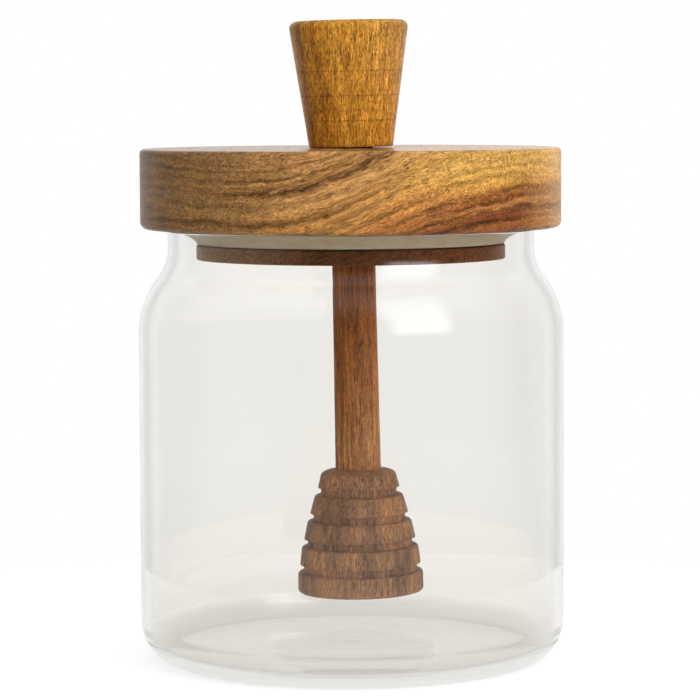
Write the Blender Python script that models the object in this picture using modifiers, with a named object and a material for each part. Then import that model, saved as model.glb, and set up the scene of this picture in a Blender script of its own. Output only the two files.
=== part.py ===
"""Honey pot: a clear glass jar, a turned wooden lid with a soft seal, and a honey dipper that hangs from its knob.

Lengths are in metres and +Z is up. The origin is the middle of the jar's base, on the surface it stands on.
Every piece is turned: a profile of (radius, height) points that a Screw modifier sweeps round the piece's axis.
"""

import math

import bpy

# The narrow gap that pieces keep where they touch.
GAP = 0.0003

# The glass jar: a straight body, an S-shaped shoulder and a short neck.
BODY_RADIUS = 0.050
NECK_RADIUS = 0.043
RIM_HEIGHT = 0.1017
NECK_START = 0.0972
WALL = 0.0022
RIM_EDGE = 0.0004
SHOULDER_CURVE = 0.022
THROAT_CURVE = 0.010
BASE_THICKNESS = 0.0030
CORNER_WIDTH = 0.0085
CORNER_HEIGHT = 0.0098
INNER_CORNER_WIDTH = 0.0055
INNER_CORNER_HEIGHT = 0.0050
PUSH_UP_RADIUS = 0.034
PUSH_UP_HEIGHT = 0.0010

# The lid: a thick disc over the rim, and a plug below it with a groove for the seal.
LID_RADIUS = 0.0494
LID_THICKNESS = 0.0186
LID_EDGE = 0.0011
LID_FOOT_EDGE = 0.0016
LID_BASE = RIM_HEIGHT + GAP
LID_TOP = LID_BASE + LID_THICKNESS
PLUG_CORE_RADIUS = 0.0330
FLANGE_RADIUS = 0.0363
FLANGE_TOP = 0.0982
FLANGE_BOTTOM = 0.0946
FLANGE_EDGE = 0.0005

# The seal: a soft ring in the groove, with a lip that flares out to the neck.
SEAL_FOOT_RADIUS = 0.0362
SEAL_TIP = 0.0004
SEAL_FLARE = 1.6

# The dipper and its knob hang through the lid with a little play, so they lean to one side.
LEAN_DEGREES = 1.0
LEAN_OFFSET = 0.0002
SHAFT_RADIUS = 0.00515
SHAFT_FOOT_RADIUS = 0.0054
SHAFT_TAPER_HEIGHT = 0.035
BORE_PLAY = 0.0010

# The knob: a tapered grip that is widest near its top, glued on the end of the shaft.
KNOB_HEIGHT = 0.0295
KNOB_FOOT_RADIUS = 0.0099
KNOB_TOP_RADIUS = 0.01395
KNOB_EDGE = 0.0018
KNOB_FOOT_EDGE = 0.0003
KNOB_LIFT = 0.0005
SOCKET_DEPTH = 0.014

# The dipper's head: a bell of rings, with a groove between each ring and the next.
HEAD_BOTTOM = 0.0159
HEAD_RADIUS = 0.0149
HEAD_EDGE = 0.0010
RING_COUNT = 5
RING_PITCH = 0.00605
LOWEST_RING_HEIGHT = 0.0049
HEAD_HEIGHT = LOWEST_RING_HEIGHT + RING_PITCH * (RING_COUNT - 1)
BELL_NARROWING = 0.0068
BELL_POWER = 1.65
GROOVE_WIDTH = 0.0018
GROOVE_DEPTH = 0.0010
RING_SWELL = 0.0003
RING_EDGE = 0.0007
CROWN_DROP = 0.0015

# How many flat sides stand for each turned piece's circle.
JAR_SIDES = 64
KNOB_SIDES = 48
DIPPER_SIDES = 40


def arc(centre, radii, start, end, steps):
    """Points on an ellipse's arc in the (radius, height) plane, from one angle in degrees to another."""
    points = []
    for i in range(steps + 1):
        angle = math.radians(start + (end - start) * i / steps)
        points.append((centre[0] + radii[0] * math.cos(angle), centre[1] + radii[1] * math.sin(angle)))
    return points


def push_up(radius):
    """How far the base's middle rises above its flat rim at a distance from the axis."""
    if radius >= PUSH_UP_RADIUS:
        return 0.0
    return PUSH_UP_HEIGHT * 0.5 * (1 + math.cos(math.pi * radius / PUSH_UP_RADIUS))


def base_points(height, steps=4):
    """The base's surface, from the axis out to the edge of its push-up."""
    radii = [PUSH_UP_RADIUS * i / steps for i in range(steps + 1)]
    return [(radius, height + push_up(radius)) for radius in radii]


def shoulder_points(inset):
    """The S-shaped shoulder from the body up to the neck, as two arcs that meet smoothly, inset into the glass."""
    turn = math.degrees(math.acos(1 - (BODY_RADIUS - NECK_RADIUS) / (SHOULDER_CURVE + THROAT_CURVE)))
    rise = (SHOULDER_CURVE + THROAT_CURVE) * math.sin(math.radians(turn))
    lower = SHOULDER_CURVE - inset
    upper = THROAT_CURVE + inset
    body_arc = arc((BODY_RADIUS - SHOULDER_CURVE, NECK_START - rise), (lower, lower), 0, turn, 5)
    neck_arc = arc((NECK_RADIUS + THROAT_CURVE, NECK_START), (upper, upper), 180 + turn, 180, 4)
    return body_arc + neck_arc[1:]


def jar_profile():
    """Up the inside from the floor, over the rim, and down the outside to the base."""
    inner_radius = BODY_RADIUS - WALL
    inner_corner = (inner_radius - INNER_CORNER_WIDTH, BASE_THICKNESS + INNER_CORNER_HEIGHT)
    outer_corner = (BODY_RADIUS - CORNER_WIDTH, CORNER_HEIGHT)
    edge = RIM_EDGE
    floor = base_points(BASE_THICKNESS)
    floor_corner = arc(inner_corner, (INNER_CORNER_WIDTH, INNER_CORNER_HEIGHT), 270, 360, 5)
    rim = arc((NECK_RADIUS - WALL + edge, RIM_HEIGHT - edge), (edge, edge), 180, 90, 2)
    rim += arc((NECK_RADIUS - edge, RIM_HEIGHT - edge), (edge, edge), 90, 0, 2)
    base_corner = arc(outer_corner, (CORNER_WIDTH, CORNER_HEIGHT), 0, -90, 6)
    inside = floor + floor_corner + shoulder_points(WALL)
    outside = shoulder_points(0)[::-1] + base_corner + base_points(0)[::-1]
    return inside + rim + outside


def lid_profile():
    """A closed loop round the section: the disc, the plug's groove and flange, and the bore."""
    bore = SHAFT_RADIUS + BORE_PLAY
    edge = LID_EDGE
    foot = LID_FOOT_EDGE
    flange = FLANGE_RADIUS - FLANGE_EDGE
    top_edge = arc((LID_RADIUS - edge, LID_TOP - edge), (edge, edge), 90, 0, 3)
    bottom_edge = arc((LID_RADIUS - foot, LID_BASE + foot), (foot, foot), 0, -90, 3)
    flange_top = arc((flange, FLANGE_TOP - FLANGE_EDGE), (FLANGE_EDGE, FLANGE_EDGE), 90, 0, 2)
    flange_bottom = arc((flange, FLANGE_BOTTOM + FLANGE_EDGE), (FLANGE_EDGE, FLANGE_EDGE), 0, -90, 2)
    groove = [(PLUG_CORE_RADIUS, LID_BASE), (PLUG_CORE_RADIUS, FLANGE_TOP)]
    return [(bore, LID_TOP)] + top_edge + bottom_edge + groove + flange_top + flange_bottom + [(bore, FLANGE_BOTTOM)]


def seal_profile(steps=6):
    """A closed loop: flat under the disc, a concave flare on the outside, and a flat foot on the flange."""
    top = LID_BASE - GAP
    bottom = FLANGE_TOP + GAP
    inner = PLUG_CORE_RADIUS + GAP
    tip_radius = NECK_RADIUS - WALL - GAP
    points = [(inner, top), (tip_radius, top)]
    for i in range(steps, -1, -1):
        share = i / steps
        radius = SEAL_FOOT_RADIUS + (tip_radius - SEAL_FOOT_RADIUS) * share ** SEAL_FLARE
        points.append((radius, bottom + (top - SEAL_TIP - bottom) * share))
    points.append((inner, bottom))
    return points


def knob_profile():
    """From the middle of the top, down the taper, and up into the socket that holds the shaft's end."""
    foot = LID_TOP + KNOB_LIFT
    top = foot + KNOB_HEIGHT
    socket = SHAFT_RADIUS + GAP
    top_edge = arc((KNOB_TOP_RADIUS - KNOB_EDGE, top - KNOB_EDGE), (KNOB_EDGE, KNOB_EDGE), 90, 8, 4)
    foot_edge = [(KNOB_FOOT_RADIUS, foot + KNOB_FOOT_EDGE), (KNOB_FOOT_RADIUS - KNOB_FOOT_EDGE, foot)]
    hole = [(socket, foot), (socket, foot + SOCKET_DEPTH), (0, foot + SOCKET_DEPTH)]
    return [(0, top)] + top_edge + foot_edge + hole


def bell_radius(height):
    """The head narrows from its bottom upwards along a smooth bell."""
    share = (height - HEAD_BOTTOM) / HEAD_HEIGHT
    return HEAD_RADIUS - BELL_NARROWING * share ** BELL_POWER


def ring_top(index):
    """The height of a ring's top edge, counted from the lowest ring up."""
    return HEAD_BOTTOM + LOWEST_RING_HEIGHT + RING_PITCH * index


def ring_points(index):
    """One ring's outside, from its top edge down to the sharp edge over the groove below it."""
    top = ring_top(index)
    bottom = top - RING_PITCH + GROOVE_WIDTH
    if index == RING_COUNT - 1:
        crown_base = top - CROWN_DROP
        spread = bell_radius(crown_base) + RING_SWELL - SHAFT_FOOT_RADIUS
        crown = arc((SHAFT_FOOT_RADIUS, crown_base), (spread, CROWN_DROP), 90, 0, 5)
        return crown + [(bell_radius(bottom), bottom)]
    corner_radius = bell_radius(top) + RING_SWELL - RING_EDGE
    corner = arc((corner_radius, top - RING_EDGE), (RING_EDGE, RING_EDGE), 90, 10, 2)
    if index > 0:
        return corner + [(bell_radius(bottom), bottom)]
    foot_centre = (HEAD_RADIUS - HEAD_EDGE, HEAD_BOTTOM + HEAD_EDGE)
    return corner + arc(foot_centre, (HEAD_EDGE, HEAD_EDGE), 0, -90, 3)


def groove_points(index):
    """The straight floor of the groove above a ring, from its upper end down."""
    bottom = ring_top(index)
    top = bottom + GROOVE_WIDTH
    radius = bell_radius((top + bottom) / 2) - GROOVE_DEPTH
    return [(radius, top), (radius, bottom)]


def dipper_profile():
    """From the shaft's end in the knob, down the shaft, and over the head's rings to the middle of its underside."""
    end = LID_TOP + KNOB_LIFT + SOCKET_DEPTH - GAP
    taper_start = HEAD_BOTTOM + HEAD_HEIGHT + SHAFT_TAPER_HEIGHT
    points = [(0, end), (SHAFT_RADIUS, end), (SHAFT_RADIUS, taper_start)]
    for index in range(RING_COUNT - 1, -1, -1):
        points += ring_points(index)
        if index > 0:
            points += groove_points(index - 1)
    return points + [(0, HEAD_BOTTOM)]


def make_material(name, colour, roughness, transmission=0.0):
    """A plain material with the piece's main colour and gloss."""
    material = bpy.data.materials.new(name)
    material.use_nodes = True
    shader = material.node_tree.nodes["Principled BSDF"]
    shader.inputs["Base Color"].default_value = (*colour, 1.0)
    shader.inputs["Roughness"].default_value = roughness
    shader.inputs["Metallic"].default_value = 0.0
    shader.inputs["Transmission Weight"].default_value = transmission
    return material


def make_turned(name, profile, sides, material, collection, closed=False):
    """An object whose profile is swept round its own Z axis."""
    count = len(profile)
    edges = [(i, i + 1) for i in range(count - 1)]
    if closed:
        edges.append((count - 1, 0))
    mesh = bpy.data.meshes.new(name)
    mesh.from_pydata([(radius, 0.0, height) for radius, height in profile], edges, [])
    mesh.materials.append(material)
    piece = bpy.data.objects.new(name, mesh)
    collection.objects.link(piece)
    screw = piece.modifiers.new("turning", "SCREW")
    screw.axis = "Z"
    screw.angle = math.tau
    screw.steps = sides
    screw.render_steps = sides
    screw.use_merge_vertices = True
    screw.merge_threshold = 0.00001
    screw.use_smooth_shade = True
    return piece


def lower_to(profile, height):
    """The same profile with its heights counted from another level."""
    return [(radius, z - height) for radius, z in profile]


def make_lean(collection):
    """The empty that carries the knob and the dipper, in the bore's mouth, turned by their lean."""
    lean = bpy.data.objects.new("dipper_lean", None)
    lean.location = (LEAN_OFFSET, 0.0, LID_TOP)
    lean.rotation_euler = (0.0, -math.radians(LEAN_DEGREES), 0.0)
    collection.objects.link(lean)
    return lean


def main():
    for old in list(bpy.data.objects):
        bpy.data.objects.remove(old, do_unlink=True)
    collection = bpy.data.collections.new("honey_pot")
    bpy.context.scene.collection.children.link(collection)

    glass = make_material("clear_glass", (0.97, 0.98, 0.97), 0.02, transmission=1.0)
    lid_wood = make_material("lid_wood", (0.36, 0.19, 0.08), 0.5)
    silicone = make_material("seal_silicone", (0.62, 0.60, 0.56), 0.45)
    knob_wood = make_material("knob_wood", (0.42, 0.20, 0.06), 0.5)
    dipper_wood = make_material("dipper_wood", (0.25, 0.12, 0.06), 0.55)

    make_turned("jar", jar_profile(), JAR_SIDES, glass, collection)
    make_turned("lid", lid_profile(), JAR_SIDES, lid_wood, collection, closed=True)
    make_turned("seal", seal_profile(), JAR_SIDES, silicone, collection, closed=True)

    lean = make_lean(collection)
    knob = make_turned("knob", lower_to(knob_profile(), LID_TOP), KNOB_SIDES, knob_wood, collection)
    dipper = make_turned("dipper", lower_to(dipper_profile(), LID_TOP), DIPPER_SIDES, dipper_wood, collection)
    knob.parent = lean
    dipper.parent = lean


main()
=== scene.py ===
"""The looks of a honey pot: a glass jar, a turned wooden lid with a soft seal and a knob, and a dipper."""

import math

import bmesh
import bpy
from mathutils import Matrix, Vector, noise


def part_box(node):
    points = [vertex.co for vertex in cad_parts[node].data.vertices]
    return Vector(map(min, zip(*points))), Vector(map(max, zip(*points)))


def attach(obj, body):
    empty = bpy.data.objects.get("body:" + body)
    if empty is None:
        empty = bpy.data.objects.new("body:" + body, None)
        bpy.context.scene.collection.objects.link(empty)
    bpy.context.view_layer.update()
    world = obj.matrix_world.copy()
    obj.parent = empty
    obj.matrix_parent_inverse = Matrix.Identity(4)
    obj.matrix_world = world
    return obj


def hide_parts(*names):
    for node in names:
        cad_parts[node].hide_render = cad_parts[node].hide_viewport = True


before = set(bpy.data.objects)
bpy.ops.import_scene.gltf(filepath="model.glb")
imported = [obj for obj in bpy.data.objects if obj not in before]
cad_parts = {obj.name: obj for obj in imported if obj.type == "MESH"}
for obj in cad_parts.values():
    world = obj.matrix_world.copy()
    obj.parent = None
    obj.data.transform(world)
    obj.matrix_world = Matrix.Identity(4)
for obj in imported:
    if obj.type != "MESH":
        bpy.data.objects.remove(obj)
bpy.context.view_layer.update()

# The pieces' own boxes in the frame give their main sizes. Lengths are in metres.
jar_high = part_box("jar")[1]
lid_low, lid_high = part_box("lid")
seal_low, seal_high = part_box("seal")

# The camera stands a little higher than the lid and looks down slightly. Its angles are in radians, and its
# lens and sensor are in mm.
CAMERA_DISTANCE = 0.744
CAMERA_HEIGHT = 0.1323
CAMERA_PITCH = 0.0795
CAMERA_ROLL = -0.0050
CAMERA_SIDE = -0.0003
CAMERA_LENS = 162.8
SENSOR_WIDTH = 36.0

# The tabletop lies a hair above the lowest ring of the base, so that no film of air is left under the glass.
FLOOR_LEVEL = 0.0004
FLOOR_RADIUS = 0.17
FLOOR_SIDES = 64
FLOOR_DARK = 0.35
FLOOR_LIGHT = 0.37
FLOOR_GLOW = 0.775

# The surround is brighter behind the glass, which takes some of its light away.
WHITE_BEHIND_GLASS = 1.08

# The dim room that gloss shows: how bright its middle, its walls and the tabletop are.
ROOM_LEVEL = 0.06
UPPER_ROOM_LEVEL = 0.5
LEFT_WALL_LEVEL = 0.35
FAR_WALL_LEVEL = 0.8
TABLETOP_LEVEL = 0.75

# The light that plain surfaces get from the surround, away from the window and towards it.
SHADE_LEVEL = 0.10
WINDOW_SIDE_LEVEL = 1.16
TOWARDS_WINDOW = (0.6, -0.35, 0.7)

# Two soft lights stand in for one window. Gloss shows the first, and the second only adds to the light.
# Their angles are in degrees: azimuth 0 is the camera's side, and 90 is +X.
LIGHT_DISTANCE = 0.85
LIGHT_WIDTH = 0.62
LIGHT_HEIGHT = 0.72
LIGHT_AIM = Vector((0, 0, 0.08))
WINDOW_AZIMUTH = 38
WINDOW_ELEVATION = 30
WINDOW_RADIANCE = 1.4
KEY_AZIMUTH = 40
KEY_ELEVATION = 32
KEY_RADIANCE = 3.2

# The play between pieces that touch.
GAP = 0.0003

# The glass jar.
BODY_RADIUS = jar_high.x
RIM_HEIGHT = jar_high.z
NECK_RADIUS = 0.043
NECK_START = 0.0972
WALL = 0.0022
RIM_EDGE = 0.0004
SHOULDER_CURVE = 0.022
THROAT_CURVE = 0.010
BASE_THICKNESS = 0.0030
CORNER_WIDTH = 0.0085
CORNER_HEIGHT = 0.0098
INNER_CORNER_WIDTH = 0.0055
INNER_CORNER_HEIGHT = 0.0050
PUSH_UP_RADIUS = 0.034
PUSH_UP_HEIGHT = 0.0010

# The lid and its plug.
LID_RADIUS = lid_high.x
LID_TOP = lid_high.z
LID_BASE = RIM_HEIGHT + GAP
LID_EDGE = 0.0011
LID_FOOT_EDGE = 0.0016
PLUG_CORE_RADIUS = 0.0330
FLANGE_RADIUS = 0.0363
FLANGE_TOP = 0.0982
FLANGE_BOTTOM = lid_low.z
FLANGE_EDGE = 0.0005
BORE_RADIUS = 0.00615

# The seal.
SEAL_FOOT_RADIUS = 0.0362
SEAL_TIP = 0.0004
SEAL_FLARE = 1.6

# The knob and the dipper, which lean together about the middle of the lid's top.
LEAN = math.radians(1.0)
LEAN_OFFSET = 0.0002
SHAFT_RADIUS = 0.00515
SHAFT_FOOT_RADIUS = 0.0054
SHAFT_TAPER_HEIGHT = 0.035
KNOB_LIFT = 0.00022
KNOB_HEIGHT = 0.0295
KNOB_FOOT_RADIUS = 0.0099
KNOB_TOP_RADIUS = 0.01395
KNOB_EDGE = 0.0018
KNOB_FOOT_EDGE = 0.0003
SOCKET_DEPTH = 0.014
HEAD_BOTTOM = 0.0159
HEAD_RADIUS = 0.0149
HEAD_EDGE = 0.0010
RING_COUNT = 5
RING_PITCH = 0.00605
LOWEST_RING_HEIGHT = 0.0049
HEAD_HEIGHT = LOWEST_RING_HEIGHT + RING_PITCH * (RING_COUNT - 1)
BELL_NARROWING = 0.0068
BELL_POWER = 1.65
GROOVE_WIDTH = 0.0018
GROOVE_DEPTH = 0.0010
RING_SWELL = 0.0003
RING_EDGE = 0.0007
CROWN_DROP = 0.0015

# How finely each piece is made: the sides round it, and the longest step along its outline.
JAR_SIDES = 256
JAR_STEP = 0.006
LID_SIDES = 256
LID_STEP = 0.0012
SEAL_SIDES = 192
KNOB_SIDES = 144
KNOB_STEP = 0.0006
DIPPER_SIDES = 128
DIPPER_STEP = 0.0008
SHARP_ANGLE = math.radians(50)
ON_AXIS = 1e-7

# The unevenness of the turned wood. Each piece starts at a place of its own in the pattern.
RELIEF_DEPTH = 0.00005
KNOB_RELIEF_DEPTH = 0.00006
RELIEF_FINENESS = 90
LID_SEED = 3.0
KNOB_SEED = 11.0
DIPPER_SEED = 23.0

MM = 0.001

# The wood's finish: the sheen of bare wood, and what the polish of the lid's top adds to its sheen and
# roughness.
WOOD_SHEEN = 0.15
POLISH_SHEEN = 0.35
POLISH_ROUGHNESS = -0.12

# The sweep of the lid's grain from left to right, its bow from front to back, and the levels that its
# growth layers run between, all in mm.
SWEEP_MIDDLE = 3.0
SWEEP_WIDTH = 17.0
SWEEP_HALF_RISE = 7.9
BOW_OFFSET = 20.0
BOW_LENGTH = 300.0
GROWTH_BOTTOM = 86.0
GROWTH_TOP = 122.0

# The lid's dark growth lines: level, half width, depth of colour, and the stretch of X that each one runs
# over, in mm. Each fades in and out over LINE_FADE.
LINE_FADE = 12.0
DARK_LINES = [
    (112.2, 2.0, 0.90, -36.0, 20.0),
    (114.8, 1.3, 0.70, -32.0, 24.0),
    (117.2, 0.8, 0.45, -28.0, 24.0),
    (109.4, 0.8, 0.35, -44.0, 8.0),
    (105.4, 1.0, 0.35, -50.0, -8.0),
    (102.2, 1.8, 0.65, -50.0, 8.0),
    (96.8, 1.0, 0.75, 4.0, 50.0),
    (95.0, 0.7, 0.70, 12.0, 50.0),
    (93.0, 1.2, 0.80, 4.0, 50.0),
    (90.4, 1.3, 0.85, 2.0, 44.0),
]

# The faint rings that the lathe left on the knob, by height over the lid, and where the pith of the upright
# woods lies, in mm.
LATHE_RINGS = (17.9, 12.2, 6.4)
KNOB_PITH = (-30.0, 16.0)
DIPPER_PITH = (-9.0, 22.0)

# The glass: how it bends light, how much it mirrors, and the height in mm over which its tint and painted
# shade thin out.
GLASS_IOR = 1.47
GLASS_SHEEN = 0.14
TINT_AND_SHADE_HEIGHT = 50.0


def tone(red, green, blue):
    """A colour given as a picture's 0 to 255 values, as the linear values that shaders use."""
    def linear(value):
        share = value / 255
        return share / 12.92 if share <= 0.04045 else ((share + 0.055) / 1.055) ** 2.4
    return (linear(red), linear(green), linear(blue), 1.0)


def plain(level):
    """A grey as a shader's colour."""
    return (level, level, level, 1.0)


class Graph:
    """A short way to write a material's nodes: each call adds one node and returns its output."""

    def __init__(self, tree):
        self.tree = tree

    def feed(self, socket, value):
        """Links an output to the socket, or sets the socket to a plain value."""
        if isinstance(value, bpy.types.NodeSocket):
            self.tree.links.new(value, socket)
        elif value is not None:
            socket.default_value = value

    def node(self, kind, settings=None, inputs=None):
        """Adds a node, with its settings and inputs by name or place."""
        made = self.tree.nodes.new(kind)
        for key, value in (settings or {}).items():
            setattr(made, key, value)
        for key, value in (inputs or {}).items():
            self.feed(made.inputs[key], value)
        return made

    def math(self, operation, first, second=None, third=None):
        made = self.node("ShaderNodeMath", {"operation": operation}, {0: first, 1: second, 2: third})
        return made.outputs[0]

    def position(self):
        """The point on the piece, in millimetres, in the piece's own axes."""
        place = self.node("ShaderNodeTexCoord").outputs["Object"]
        scaled = self.node("ShaderNodeVectorMath", {"operation": "SCALE"}, {0: place, "Scale": 1000.0})
        return scaled.outputs[0]

    def split(self, vector):
        return self.node("ShaderNodeSeparateXYZ", inputs={0: vector}).outputs

    def join(self, x, y, z):
        return self.node("ShaderNodeCombineXYZ", inputs={0: x, 1: y, 2: z}).outputs[0]

    def stretch(self, vector, x, y, z):
        """The vector with each part scaled by its own number."""
        made = self.node("ShaderNodeVectorMath", {"operation": "MULTIPLY"}, {0: vector, 1: (x, y, z)})
        return made.outputs[0]

    def length(self, vector):
        made = self.node("ShaderNodeVectorMath", {"operation": "LENGTH"}, {0: vector})
        return made.outputs["Value"]

    def away(self, value, place):
        """How far the value is from a place."""
        return self.math("ABSOLUTE", self.math("SUBTRACT", value, place))

    def swing(self, value, width):
        """A value from 0 to 1 as a swing of the given width round zero."""
        return self.math("MULTIPLY_ADD", value, width, -width / 2)

    def noise(self, vector, scale, detail=2.0, roughness=0.5):
        inputs = {"Vector": vector, "Scale": scale, "Detail": detail, "Roughness": roughness}
        return self.node("ShaderNodeTexNoise", inputs=inputs).outputs["Fac"]

    def cells(self, vector, scale):
        """A cell pattern's distance to the nearest point, and a random colour for each cell."""
        made = self.node("ShaderNodeTexVoronoi", inputs={"Vector": vector, "Scale": scale})
        return made.outputs["Distance"], made.outputs["Color"]

    def remap(self, value, low, high, new_low=0.0, new_high=1.0):
        """Carries a value from one range to another, held at its ends."""
        inputs = {"Value": value, "From Min": low, "From Max": high, "To Min": new_low, "To Max": new_high}
        return self.node("ShaderNodeMapRange", {"clamp": True}, inputs).outputs[0]

    def ramp(self, value, stops):
        """A colour that runs through the stops, each a (place, colour) pair."""
        made = self.node("ShaderNodeValToRGB", inputs={0: value})
        elements = made.color_ramp.elements
        while len(elements) < len(stops):
            elements.new(0.5)
        for element, (place, colour) in zip(elements, stops):
            element.position = place
            element.color = colour
        return made.outputs[0]

    def blend(self, share, first, second, kind="MIX"):
        """Mixes two colours by a share, or by one of the other ways to combine them."""
        made = self.node("ShaderNodeMix", {"data_type": "RGBA", "blend_type": kind})
        self.feed(made.inputs[0], share)
        self.feed(made.inputs[6], first)
        self.feed(made.inputs[7], second)
        return made.outputs[2]

    def grey(self, value):
        return self.node("ShaderNodeCombineColor", inputs={0: value, 1: value, 2: value}).outputs[0]

    def shade(self, colour, factor):
        """The colour made darker or lighter by a factor."""
        return self.blend(1.0, colour, self.grey(factor), "MULTIPLY")

    def bump(self, height, strength, distance):
        inputs = {"Strength": strength, "Distance": distance, "Height": height}
        return self.node("ShaderNodeBump", inputs=inputs).outputs[0]


def new_material(name):
    """A material with one Principled shader, its node graph and that shader."""
    material = bpy.data.materials.new(name)
    material.use_nodes = True
    shader = material.node_tree.nodes["Principled BSDF"]
    return material, Graph(material.node_tree), shader


def wood_finish(graph, shader, colour, fibre, contrast, roughness=0.36, polish=None):
    """Streaks, fibres, open pores, gloss and relief over a wood's base colour.

    fibre is a place whose x runs along the grain. polish is 1 where the wood is smoother, or None.
    """
    streaks = graph.noise(graph.stretch(fibre, 0.07, 1.1, 1.1), 1.0, 3.0, 0.62)
    hair = graph.noise(graph.stretch(fibre, 0.24, 3.4, 3.4), 1.0, 2.0, 0.6)
    flecks = graph.noise(graph.stretch(fibre, 1.1, 3.0, 3.0), 1.0, 1.0, 0.6)
    distance, chance = graph.cells(graph.stretch(fibre, 0.22, 2.3, 2.3), 1.0)
    dash = graph.remap(distance, 0.10, 0.40, 1.0, 0.0)
    present = graph.remap(graph.split(chance)[0], 0.35, 0.60, 0.0, 1.0)
    pores = graph.math("MULTIPLY", dash, present)
    factor = 1.0
    for pattern, darker, lighter in ((streaks, 0.26, 0.20), (hair, 0.26, 0.24), (flecks, 0.24, 0.26)):
        shade = graph.remap(pattern, 0.3, 0.7, 1 - darker * contrast, 1 + lighter * contrast)
        factor = graph.math("MULTIPLY", factor, shade)
    shaded = graph.shade(colour, factor)
    darkened = graph.blend(1.0, shaded, tone(158, 124, 100), "MULTIPLY")
    graph.feed(shader.inputs["Base Color"], graph.blend(pores, shaded, darkened))
    gloss = graph.remap(hair, 0.3, 0.7, roughness - 0.06, roughness + 0.08)
    if polish:
        gloss = graph.math("MULTIPLY_ADD", polish, POLISH_ROUGHNESS, gloss)
        sheen = graph.math("MULTIPLY_ADD", polish, POLISH_SHEEN, WOOD_SHEEN)
        graph.feed(shader.inputs["Specular IOR Level"], sheen)
    else:
        shader.inputs["Specular IOR Level"].default_value = WOOD_SHEEN
    graph.feed(shader.inputs["Roughness"], graph.math("MULTIPLY_ADD", pores, 0.2, gloss))
    relief = graph.math("SUBTRACT", graph.math("MULTIPLY", hair, 0.4), pores)
    graph.feed(shader.inputs["Normal"], graph.bump(relief, 0.35, 0.00010))


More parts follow.
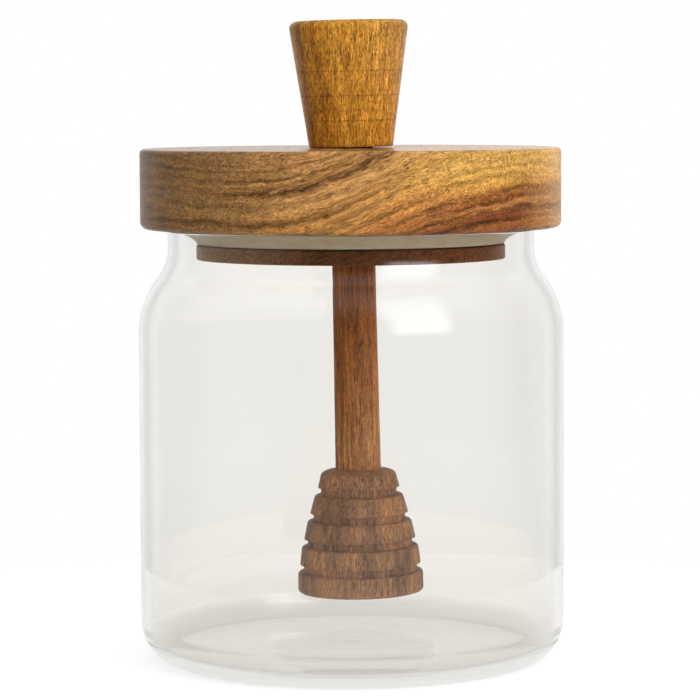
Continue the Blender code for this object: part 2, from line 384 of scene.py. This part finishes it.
def lid_wood():
    """Acacia with its grain along X, which sweeps up to the right: brown heartwood and golden sapwood."""
    material, graph, shader = new_material("lid_wood")
    place = graph.position()
    x, y, z = graph.split(place)
    sweep = graph.math("DIVIDE", graph.math("SUBTRACT", x, SWEEP_MIDDLE), SWEEP_WIDTH)
    rise = graph.math("MULTIPLY_ADD", graph.math("TANH", sweep), SWEEP_HALF_RISE, SWEEP_HALF_RISE)
    across = graph.math("ADD", y, BOW_OFFSET)
    bow = graph.math("DIVIDE", graph.math("MULTIPLY", across, across), BOW_LENGTH)
    drift = graph.noise(graph.stretch(place, 0.35, 0.5, 1.0), 0.09, 3.0, 0.55)
    ripple = graph.noise(graph.stretch(place, 0.5, 0.5, 1.0), 0.4, 2.0, 0.6)
    drift = graph.math("ADD", graph.swing(drift, 2.4), graph.swing(ripple, 1.6))
    level = graph.math("ADD", graph.math("SUBTRACT", z, rise), graph.math("ADD", bow, drift))
    grown = graph.join(x, y, level)
    height = graph.remap(level, GROWTH_BOTTOM, GROWTH_TOP)
    heartwood = graph.ramp(height, [
        (0.00, tone(118, 72, 34)),
        (0.12, tone(98, 62, 30)),
        (0.22, tone(140, 94, 46)),
        (0.34, tone(184, 130, 64)),
        (0.46, tone(190, 136, 70)),
        (0.55, tone(164, 114, 58)),
        (0.66, tone(204, 152, 88)),
        (0.75, tone(190, 136, 76)),
        (0.84, tone(200, 146, 84)),
        (0.92, tone(178, 128, 74)),
        (1.00, tone(186, 136, 82)),
    ])
    sapwood = graph.ramp(height, [
        (0.00, tone(104, 52, 24)),
        (0.10, tone(152, 88, 40)),
        (0.16, tone(104, 52, 24)),
        (0.22, tone(178, 118, 58)),
        (0.27, tone(124, 68, 28)),
        (0.32, tone(190, 130, 58)),
        (0.38, tone(204, 152, 72)),
        (0.50, tone(204, 156, 78)),
        (0.65, tone(196, 146, 74)),
        (0.80, tone(186, 138, 72)),
        (1.00, tone(180, 130, 70)),
    ])
    edge = graph.noise(graph.stretch(grown, 0.3, 1.0, 1.0), 0.16, 3.0, 0.6)
    border = graph.math("ADD", x, graph.swing(edge, 26.0))
    base = graph.blend(graph.remap(border, 6.0, 22.0), heartwood, sapwood)
    # Towards the left the wood turns a dull dark brown: partly its own colour, partly painted shade.
    base = graph.blend(graph.remap(border, -46.0, -6.0, 0.85, 0.0), base, tone(118, 86, 52))
    # The right rim turns pale gold: partly its own colour, partly painted light on the side the light comes
    # from.
    base = graph.blend(graph.remap(x, 38.0, 48.0, 0.0, 0.6), base, tone(206, 158, 94))
    flush = graph.remap(level, 104.0, 100.0, 0.0, 0.6)
    flush = graph.math("MULTIPLY", flush, graph.remap(border, -2.0, 10.0))
    flush = graph.math("MULTIPLY", flush, graph.remap(border, 16.0, 30.0, 1.0, 0.0))
    base = graph.blend(flush, base, tone(176, 108, 56))

    # The dark lines break off here and there.
    broken = graph.noise(graph.stretch(grown, 0.12, 0.2, 1.0), 1.3, 3.0, 0.7)
    broken = graph.remap(broken, 0.34, 0.50)
    for line_level, width, depth, first, last in DARK_LINES:
        distance = graph.away(level, line_level)
        line = graph.math("MULTIPLY", graph.remap(distance, 0.1, width, depth, 0.0), broken)
        line = graph.math("MULTIPLY", line, graph.remap(x, first, first + LINE_FADE))
        line = graph.math("MULTIPLY", line, graph.remap(x, last - LINE_FADE, last, 1.0, 0.0))
        base = graph.blend(line, base, tone(74, 42, 20))

    layers = graph.noise(graph.stretch(grown, 0.03, 0.05, 1.0), 0.85, 3.0, 0.65)
    toned = graph.shade(base, graph.remap(layers, 0.3, 0.7, 0.58, 1.36))

    # The plug under the disc is darker in its middle, as painted shade, and the disc's top is smoother than
    # the rest.
    plug = graph.ramp(graph.remap(x, -36.0, 36.0), [
        (0.0, tone(196, 150, 98)),
        (0.4, tone(110, 66, 24)),
        (0.6, tone(110, 64, 24)),
        (1.0, tone(158, 98, 52)),
    ])
    toned = graph.blend(graph.remap(z, LID_BASE / MM - 0.6, LID_BASE / MM - 0.2, 0.8, 0.0), toned, plug)
    top = graph.remap(z, LID_TOP / MM - 0.3, LID_TOP / MM - 0.1)
    wood_finish(graph, shader, toned, grown, 1.15, polish=top)
    return material


def upright_wood(name, colours, pith, fineness):
    """Wood with its grain along the piece's own axis, in growth layers round a pith off to one side."""
    material, graph, shader = new_material(name)
    place = graph.position()
    x, y, z = graph.split(place)
    across = graph.join(graph.math("SUBTRACT", x, pith[0]), graph.math("SUBTRACT", y, pith[1]), 0.0)
    drift = graph.noise(graph.stretch(place, 1.0, 1.0, 0.25), 0.16, 3.0, 0.55)
    level = graph.math("ADD", graph.length(across), graph.swing(drift, 3.0))
    layers = graph.noise(graph.join(level, graph.math("MULTIPLY", z, 0.012), 0.0), fineness, 2.0, 0.6)
    last = len(colours) - 1
    stops = [(i / last, colour) for i, colour in enumerate(colours)]
    base = graph.ramp(graph.remap(layers, 0.3, 0.7), stops)
    return material, graph, shader, base


def knob_wood():
    """Golden brown wood, paler at the upper right, with upright pores and the faint rings of the lathe."""
    colours = [tone(134, 84, 24), tone(178, 118, 36), tone(198, 136, 46), tone(208, 148, 58)]
    material, graph, shader, base = upright_wood("knob_wood", colours, KNOB_PITH, 0.22)
    place = graph.position()
    x, y, z = graph.split(place)
    turned = graph.noise(graph.stretch(place, 0.15, 0.15, 1.0), 0.55, 3.0, 0.8)
    factor = graph.remap(turned, 0.54, 0.64, 1.0, 0.86)
    for height in LATHE_RINGS:
        ring = graph.remap(graph.away(z, height), 0.08, 0.26, 0.72, 1.0)
        factor = graph.math("MULTIPLY", factor, ring)
    edge = graph.noise(graph.stretch(place, 1.0, 1.0, 0.25), 0.3, 3.0, 0.6)
    border = graph.math("ADD", x, graph.swing(edge, 8.0))
    pale = graph.math("MULTIPLY", graph.remap(border, 1.0, 7.0), graph.remap(z, 6.0, 22.0, 0.0, 0.34))
    base = graph.blend(pale, base, tone(226, 172, 86))
    wood_finish(graph, shader, graph.shade(base, factor), graph.join(z, x, y), 1.6)
    return material


def dipper_wood():
    """Reddish brown wood, lighter towards the foot of the shaft, most on its lit side as painted light, and
    greyer on the turned head.
    """
    colours = [tone(94, 44, 4), tone(152, 82, 12), tone(176, 98, 20), tone(210, 138, 52)]
    material, graph, shader, base = upright_wood("dipper_wood", colours, DIPPER_PITH, 0.5)
    place = graph.position()
    x, y, z = graph.split(place)
    # The shaft pales towards its foot, most on its right: partly its own colour, partly painted light on the
    # lit side.
    low = graph.remap(z, -30.0, -70.0, 0.0, 0.85)
    foot = graph.math("MULTIPLY", low, graph.remap(x, -5.0, 5.0, 0.45, 1.0))
    base = graph.blend(foot, base, tone(202, 146, 98))
    strands = graph.noise(graph.stretch(place, 1.0, 1.0, 0.03), 0.9, 2.0, 0.6)
    base = graph.shade(base, graph.remap(strands, 0.34, 0.66, 0.74, 1.24))
    patches = graph.noise(graph.stretch(place, 1.0, 1.0, 0.3), 0.22, 3.0, 0.6)
    dull_colours = [(0.35, tone(136, 98, 68)), (0.52, tone(168, 122, 84)), (0.66, tone(190, 132, 84))]
    dull = graph.ramp(patches, dull_colours)
    head_top = (HEAD_BOTTOM + HEAD_HEIGHT - LID_TOP) / MM
    on_head = graph.remap(z, head_top - 0.6, head_top + 0.8, 1.0, 0.0)
    toned = graph.blend(on_head, base, dull)
    wood_finish(graph, shader, toned, graph.join(z, x, y), 1.15, roughness=0.48)
    return material


def clear_glass():
    """Clear glass with a trace of grey, heavier low down partly as painted shade, and the faint waves of a
    blown wall.
    """
    material, graph, shader = new_material("clear_glass")
    place = graph.position()
    waves = graph.noise(place, 0.06, 2.0, 0.5)
    smudges = graph.noise(place, 0.12, 3.0, 0.6)
    graph.feed(shader.inputs["Roughness"], graph.remap(smudges, 0.45, 0.75, 0.0, 0.02))
    graph.feed(shader.inputs["Normal"], graph.bump(waves, 0.06, 0.0004))
    x, y, z = graph.split(place)
    height = graph.remap(z, 0.0, TINT_AND_SHADE_HEIGHT)
    # The grey grows heavier towards the base: partly for the thicker glass there, partly as painted shade
    # under the jar.
    tints_and_shade = [
        (0.024, (0.98, 0.975, 0.96, 1.0)),
        (0.040, (0.82, 0.81, 0.775, 1.0)),
        (0.120, (0.87, 0.855, 0.82, 1.0)),
        (0.300, (0.88, 0.87, 0.84, 1.0)),
        (0.900, (0.94, 0.93, 0.905, 1.0)),
    ]
    radius = graph.length(graph.join(x, y, 0.0))
    # The heel ring is darker as painted shade, where the jar stands on the table.
    heel_shade = graph.math("MULTIPLY", graph.remap(radius, 41.5, 43.0), graph.remap(z, 5.0, 8.0, 1.0, 0.0))
    heel_shade_tint = (0.76, 0.75, 0.71, 1.0)
    graph.feed(shader.inputs["Base Color"], graph.blend(heel_shade, graph.ramp(height, tints_and_shade), heel_shade_tint))
    shader.inputs["IOR"].default_value = GLASS_IOR
    shader.inputs["Specular IOR Level"].default_value = GLASS_SHEEN
    shader.inputs["Transmission Weight"].default_value = 1.0
    return material


def soft_silicone():
    """Pale translucent silicone with a soft sheen and a fine bloom of dust."""
    material, graph, shader = new_material("seal_silicone")
    place = graph.position()
    cloud = graph.noise(place, 0.25, 4.0, 0.6)
    colour = graph.ramp(cloud, [(0.35, tone(236, 212, 172)), (0.65, tone(248, 230, 198))])
    graph.feed(shader.inputs["Base Color"], colour)
    graph.feed(shader.inputs["Roughness"], graph.remap(cloud, 0.3, 0.7, 0.36, 0.5))
    graph.feed(shader.inputs["Normal"], graph.bump(graph.noise(place, 3.0, 2.0), 0.1, 0.00005))
    shader.inputs["Subsurface Weight"].default_value = 0.25
    shader.inputs["Subsurface Radius"].default_value = (0.004, 0.0035, 0.003)
    shader.inputs["Subsurface Scale"].default_value = 0.5
    return material


def arc(centre, radii, start, end, steps):
    """Points on an ellipse's arc in the (radius, height) plane, from one angle in degrees to another."""
    points = []
    for i in range(steps + 1):
        angle = math.radians(start + (end - start) * i / steps)
        points.append((centre[0] + radii[0] * math.cos(angle), centre[1] + radii[1] * math.sin(angle)))
    return points


def refine(profile, spacing, closed=False):
    """The same outline with extra points on its long straight runs."""
    ends = profile[1:] + profile[:1] if closed else profile[1:]
    points = []
    for start, end in zip(profile, ends):
        length = math.dist(start, end)
        count = max(1, round(length / spacing))
        for i in range(count):
            share = i / count
            points.append((start[0] + (end[0] - start[0]) * share, start[1] + (end[1] - start[1]) * share))
    if not closed:
        points.append(profile[-1])
    return points


def turned_mesh(name, profile, sides, closed=False, relief=None):
    """A mesh of the profile swept round the Z axis.

    relief gives a small outward step for each angle, radius and height.
    """
    mesh = bpy.data.meshes.new(name)
    made = bmesh.new()
    rows = []
    for radius, height in profile:
        if radius < ON_AXIS:
            rows.append([made.verts.new((0.0, 0.0, height))])
            continue
        row = []
        for i in range(sides):
            angle = math.tau * i / sides
            reach = radius + (relief(angle, radius, height) if relief else 0.0)
            row.append(made.verts.new((reach * math.cos(angle), reach * math.sin(angle), height)))
        rows.append(row)
    following = rows[1:] + rows[:1] if closed else rows[1:]
    for upper, lower in zip(rows, following):
        for i in range(sides):
            j = (i + 1) % sides
            if len(upper) == 1:
                made.faces.new((upper[0], lower[i], lower[j]))
            elif len(lower) == 1:
                made.faces.new((upper[j], upper[i], lower[0]))
            else:
                made.faces.new((upper[i], lower[i], lower[j], upper[j]))
    bmesh.ops.recalc_face_normals(made, faces=made.faces)
    made.to_mesh(mesh)
    made.free()
    mesh.shade_smooth()
    mesh.set_sharp_from_angle(angle=SHARP_ANGLE)
    return mesh


def weigh_normals(mesh):
    """Smooth shading that follows the large faces, so that flat glass doesn't bend what is behind it."""
    sums = [Vector() for _ in mesh.vertices]
    for face in mesh.polygons:
        for index in face.vertices:
            sums[index] += face.normal * face.area
    mesh.normals_split_custom_set_from_vertices([total.normalized() for total in sums])


def add_piece(name, mesh, material, node, matrix=None):
    """Puts a piece in the scene in place of its node, riding on the one body."""
    mesh.materials.append(material)
    piece = bpy.data.objects.new(name, mesh)
    bpy.context.scene.collection.objects.link(piece)
    if matrix:
        piece.matrix_world = matrix
    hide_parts(node)
    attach(piece, "root")


def push_up(radius):
    """How far the base's middle rises above its flat rim at a distance from the axis."""
    if radius >= PUSH_UP_RADIUS:
        return 0.0
    return PUSH_UP_HEIGHT * 0.5 * (1 + math.cos(math.pi * radius / PUSH_UP_RADIUS))


def base_points(height, steps=16):
    radii = [PUSH_UP_RADIUS * i / steps for i in range(steps + 1)]
    return [(radius, height + push_up(radius)) for radius in radii]


def shoulder_points(inset):
    """The S-shaped shoulder from the body up to the neck: two arcs that meet smoothly, inset by a depth."""
    turn = math.degrees(math.acos(1 - (BODY_RADIUS - NECK_RADIUS) / (SHOULDER_CURVE + THROAT_CURVE)))
    rise = (SHOULDER_CURVE + THROAT_CURVE) * math.sin(math.radians(turn))
    lower = SHOULDER_CURVE - inset
    upper = THROAT_CURVE + inset
    body_arc = arc((BODY_RADIUS - SHOULDER_CURVE, NECK_START - rise), (lower, lower), 0, turn, 20)
    neck_arc = arc((NECK_RADIUS + THROAT_CURVE, NECK_START), (upper, upper), 180 + turn, 180, 16)
    return body_arc + neck_arc[1:]


def jar_profile():
    """Up the inside from the floor, over the rim, and down the outside to the base."""
    inner_radius = BODY_RADIUS - WALL
    inner_corner = (inner_radius - INNER_CORNER_WIDTH, BASE_THICKNESS + INNER_CORNER_HEIGHT)
    outer_corner = (BODY_RADIUS - CORNER_WIDTH, CORNER_HEIGHT)
    floor_corner = arc(inner_corner, (INNER_CORNER_WIDTH, INNER_CORNER_HEIGHT), 270, 360, 18)
    edge = RIM_EDGE
    rim = arc((NECK_RADIUS - WALL + edge, RIM_HEIGHT - edge), (edge, edge), 180, 90, 6)
    rim += arc((NECK_RADIUS - edge, RIM_HEIGHT - edge), (edge, edge), 90, 0, 6)
    base_corner = arc(outer_corner, (CORNER_WIDTH, CORNER_HEIGHT), 0, -90, 18)
    inside = base_points(BASE_THICKNESS) + floor_corner + shoulder_points(WALL)
    outside = shoulder_points(0)[::-1] + base_corner + base_points(0)[::-1]
    return refine(inside + rim + outside, JAR_STEP)


def lid_profile():
    """A closed loop round the section: the disc, the plug's groove and flange, and the bore."""
    edge = LID_EDGE
    foot = LID_FOOT_EDGE
    flange = FLANGE_RADIUS - FLANGE_EDGE
    top_edge = arc((LID_RADIUS - edge, LID_TOP - edge), (edge, edge), 90, 0, 8)
    bottom_edge = arc((LID_RADIUS - foot, LID_BASE + foot), (foot, foot), 0, -90, 8)
    flange_top = arc((flange, FLANGE_TOP - FLANGE_EDGE), (FLANGE_EDGE, FLANGE_EDGE), 90, 0, 4)
    flange_bottom = arc((flange, FLANGE_BOTTOM + FLANGE_EDGE), (FLANGE_EDGE, FLANGE_EDGE), 0, -90, 4)
    groove = [(PLUG_CORE_RADIUS, LID_BASE), (PLUG_CORE_RADIUS, FLANGE_TOP)]
    loop = [(BORE_RADIUS, LID_TOP)] + top_edge + bottom_edge + groove + flange_top + flange_bottom
    return refine(loop + [(BORE_RADIUS, FLANGE_BOTTOM)], LID_STEP, closed=True)


def seal_profile(steps=24):
    """A closed loop: flat under the disc, a concave flare on the outside, and a flat foot on the flange."""
    top = seal_high.z
    bottom = seal_low.z
    inner = PLUG_CORE_RADIUS + GAP
    tip_radius = seal_high.x
    points = [(inner, top), (tip_radius, top)]
    for i in range(steps, -1, -1):
        share = i / steps
        radius = SEAL_FOOT_RADIUS + (tip_radius - SEAL_FOOT_RADIUS) * share ** SEAL_FLARE
        points.append((radius, bottom + (top - SEAL_TIP - bottom) * share))
    points.append((inner, bottom))
    return points


def knob_profile():
    """From the middle of the top, down the taper, and up into the socket that holds the shaft's end."""
    foot = LID_TOP + KNOB_LIFT
    top = foot + KNOB_HEIGHT
    socket = SHAFT_RADIUS + GAP
    top_edge = arc((KNOB_TOP_RADIUS - KNOB_EDGE, top - KNOB_EDGE), (KNOB_EDGE, KNOB_EDGE), 90, 8, 8)
    foot_edge = [(KNOB_FOOT_RADIUS, foot + KNOB_FOOT_EDGE), (KNOB_FOOT_RADIUS - KNOB_FOOT_EDGE, foot)]
    hole = [(socket, foot), (socket, foot + SOCKET_DEPTH), (0, foot + SOCKET_DEPTH)]
    return refine([(0, top)] + top_edge + foot_edge + hole, KNOB_STEP)


def bell_radius(height):
    """The head narrows from its bottom upwards along a smooth bell."""
    share = (height - HEAD_BOTTOM) / HEAD_HEIGHT
    return HEAD_RADIUS - BELL_NARROWING * share ** BELL_POWER


def ring_top(index):
    """The height of a ring's top edge, counted from the lowest ring up."""
    return HEAD_BOTTOM + LOWEST_RING_HEIGHT + RING_PITCH * index


def ring_points(index):
    """One ring's outside, from its top edge down to the sharp edge over the groove below it."""
    top = ring_top(index)
    bottom = top - RING_PITCH + GROOVE_WIDTH
    if index == RING_COUNT - 1:
        crown_base = top - CROWN_DROP
        spread = bell_radius(crown_base) + RING_SWELL - SHAFT_FOOT_RADIUS
        crown = arc((SHAFT_FOOT_RADIUS, crown_base), (spread, CROWN_DROP), 90, 0, 12)
        return crown + [(bell_radius(bottom), bottom)]
    corner_radius = bell_radius(top) + RING_SWELL - RING_EDGE
    corner = arc((corner_radius, top - RING_EDGE), (RING_EDGE, RING_EDGE), 90, 10, 6)
    if index > 0:
        return corner + [(bell_radius(bottom), bottom)]
    foot_centre = (HEAD_RADIUS - HEAD_EDGE, HEAD_BOTTOM + HEAD_EDGE)
    return corner + arc(foot_centre, (HEAD_EDGE, HEAD_EDGE), 0, -90, 8)


def groove_points(index):
    """The straight floor of the groove above a ring, from its upper end down."""
    bottom = ring_top(index)
    top = bottom + GROOVE_WIDTH
    radius = bell_radius((top + bottom) / 2) - GROOVE_DEPTH
    return [(radius, top), (radius, bottom)]


def dipper_profile():
    """From the shaft's end in the knob, down the shaft, and over the head's rings to its underside."""
    end = LID_TOP + KNOB_LIFT + SOCKET_DEPTH - GAP
    taper_start = HEAD_BOTTOM + HEAD_HEIGHT + SHAFT_TAPER_HEIGHT
    points = [(0, end), (SHAFT_RADIUS, end), (SHAFT_RADIUS, taper_start)]
    for index in range(RING_COUNT - 1, -1, -1):
        points += ring_points(index)
        if index > 0:
            points += groove_points(index - 1)
    return refine(points + [(0, HEAD_BOTTOM)], DIPPER_STEP)


def wood_relief(depth, seed):
    """A slight unevenness of at most the given depth, as hand-finished wood has."""
    def relief(angle, radius, height):
        place = Vector((radius * math.cos(angle), radius * math.sin(angle), height))
        return -depth * (0.5 + 0.5 * noise.noise(place * RELIEF_FINENESS + Vector((seed, 0, 0))))
    return relief


def lowered(profile, height):
    """The same profile with its heights counted from another level."""
    return [(radius, z - height) for radius, z in profile]


def build_pieces():
    """Makes each piece of the pot over its node."""
    lean = Matrix.Translation((LEAN_OFFSET, 0, LID_TOP)) @ Matrix.Rotation(-LEAN, 4, "Y")
    lid_relief = wood_relief(RELIEF_DEPTH, LID_SEED)
    knob_relief = wood_relief(KNOB_RELIEF_DEPTH, KNOB_SEED)
    dipper_relief = wood_relief(RELIEF_DEPTH, DIPPER_SEED)
    knob_outline = lowered(knob_profile(), LID_TOP)
    dipper_outline = lowered(dipper_profile(), LID_TOP)
    jar = turned_mesh("jar_glass", jar_profile(), JAR_SIDES)
    weigh_normals(jar)
    lid = turned_mesh("lid_wood", lid_profile(), LID_SIDES, closed=True, relief=lid_relief)
    seal = turned_mesh("seal_ring", seal_profile(), SEAL_SIDES, closed=True)
    knob = turned_mesh("knob_wood", knob_outline, KNOB_SIDES, relief=knob_relief)
    dipper = turned_mesh("dipper_wood", dipper_outline, DIPPER_SIDES, relief=dipper_relief)
    add_piece("jar_glass", jar, clear_glass(), "jar")
    add_piece("lid_wood", lid, lid_wood(), "lid")
    add_piece("seal_ring", seal, soft_silicone(), "seal")
    add_piece("knob_wood", knob, knob_wood(), "knob", lean)
    add_piece("dipper_wood", dipper, dipper_wood(), "dipper", lean)


def add_camera():
    """The photograph's view."""
    data = bpy.data.cameras.new("camera")
    data.lens = CAMERA_LENS
    data.sensor_width = SENSOR_WIDTH
    camera = bpy.data.objects.new("camera", data)
    bpy.context.scene.collection.objects.link(camera)
    turn = Matrix.Rotation(math.pi / 2 - CAMERA_PITCH, 4, "X") @ Matrix.Rotation(CAMERA_ROLL, 4, "Z")
    camera.matrix_world = Matrix.Translation((CAMERA_SIDE, -CAMERA_DISTANCE, CAMERA_HEIGHT)) @ turn
    bpy.context.scene.camera = camera


def add_softbox(name, azimuth, elevation, radiance, shows_in_gloss=True):
    """A soft light that faces the pot, brightest in its lower part."""
    around = math.radians(azimuth)
    rise = math.radians(elevation)
    way = Vector((math.sin(around) * math.cos(rise), -math.cos(around) * math.cos(rise), math.sin(rise)))
    data = bpy.data.lights.new(name, "AREA")
    data.shape = "RECTANGLE"
    data.size = LIGHT_WIDTH
    data.size_y = LIGHT_HEIGHT
    data.energy = radiance * math.pi * LIGHT_WIDTH * LIGHT_HEIGHT
    data.use_nodes = True
    graph = Graph(data.node_tree)
    across, up, _ = graph.split(graph.node("ShaderNodeNewGeometry").outputs["Parametric"])

    # The light fades out at its sides and its foot, and slowly towards its top.
    sides = graph.remap(graph.away(across, 0.5), 0.28, 0.5, 1.0, 0.0)
    level = graph.math("MULTIPLY", graph.remap(up, 0.0, 0.14), graph.remap(up, 0.3, 1.0, 1.0, 0.12))
    graph.feed(data.node_tree.nodes["Emission"].inputs["Strength"], graph.math("MULTIPLY", sides, level))
    light = bpy.data.objects.new(name, data)
    bpy.context.scene.collection.objects.link(light)
    light.location = LIGHT_AIM + way * LIGHT_DISTANCE
    light.rotation_mode = "QUATERNION"
    light.rotation_quaternion = way.to_track_quat("Z", "Y")
    light.visible_camera = False
    light.visible_glossy = shows_in_gloss


def build_world():
    """A white surround. Gloss shows a dim room with pale far walls instead, and wood gets a sided light."""
    world = bpy.data.worlds.new("studio")
    bpy.context.scene.world = world
    world.use_nodes = True
    graph = Graph(world.node_tree)
    background = world.node_tree.nodes["Background"]
    x, y, z = graph.split(graph.node("ShaderNodeTexCoord").outputs["Generated"])

    back_wall = graph.remap(y, 0.80, 0.93)
    ceiling = graph.remap(z, 0.90, 0.98)
    upper_room = graph.remap(z, 0.5, 0.8, ROOM_LEVEL, UPPER_ROOM_LEVEL)
    left_wall = graph.remap(x, -0.9, -0.5, LEFT_WALL_LEVEL, ROOM_LEVEL)
    far_walls = graph.remap(y, 0.3, 0.65, ROOM_LEVEL, FAR_WALL_LEVEL)
    tabletop = graph.remap(z, -0.10, -0.16, ROOM_LEVEL, TABLETOP_LEVEL)
    room = graph.math("MAXIMUM", left_wall, far_walls)
    for part in (upper_room, ceiling, back_wall, tabletop):
        room = graph.math("MAXIMUM", room, part)

    right, back, up = TOWARDS_WINDOW
    facing = graph.math("MULTIPLY_ADD", y, back, graph.math("MULTIPLY", z, up))
    facing = graph.math("MULTIPLY_ADD", x, right, facing)
    light = graph.remap(facing, -1.0, 1.0, SHADE_LEVEL, WINDOW_SIDE_LEVEL)

    # straight is 1 for rays that have only passed through glass, and 0 for all others.
    path = graph.node("ShaderNodeLightPath").outputs
    glossy = graph.math("GREATER_THAN", path["Glossy Depth"], 0.5)
    other_steps = graph.math("SUBTRACT", path["Ray Depth"], path["Transmission Depth"])
    straight = graph.math("MINIMUM", path["Transmission Depth"], graph.math("LESS_THAN", other_steps, 1.5))
    level = graph.blend(glossy, graph.grey(light), graph.grey(room))
    level = graph.blend(straight, level, plain(WHITE_BEHIND_GLASS))
    level = graph.blend(path["Is Camera Ray"], level, plain(1.0))
    graph.feed(background.inputs["Color"], level)


def build_floor():
    """A pale round of tabletop under the jar, which glows so that it blends into the white ground."""
    mesh = bpy.data.meshes.new("floor")
    made = bmesh.new()
    bmesh.ops.create_circle(made, cap_ends=True, segments=FLOOR_SIDES, radius=FLOOR_RADIUS)
    made.to_mesh(mesh)
    made.free()
    material, graph, shader = new_material("pale_floor")
    grain = graph.noise(graph.position(), 0.02, 3.0)
    colours = [(0.3, plain(FLOOR_DARK)), (0.7, plain(FLOOR_LIGHT))]
    graph.feed(shader.inputs["Base Color"], graph.ramp(grain, colours))
    shader.inputs["Roughness"].default_value = 0.9
    shader.inputs["Specular IOR Level"].default_value = 0.1
    shader.inputs["Emission Color"].default_value = plain(1.0)
    shader.inputs["Emission Strength"].default_value = FLOOR_GLOW
    mesh.materials.append(material)
    floor = bpy.data.objects.new("floor", mesh)
    bpy.context.scene.collection.objects.link(floor)
    floor.location = (0, 0, FLOOR_LEVEL)


bpy.context.scene.view_settings.view_transform = "Standard"
add_camera()
build_world()
build_floor()
add_softbox("window_light", WINDOW_AZIMUTH, WINDOW_ELEVATION, WINDOW_RADIANCE)
add_softbox("key_light", KEY_AZIMUTH, KEY_ELEVATION, KEY_RADIANCE, shows_in_gloss=False)
build_pieces()
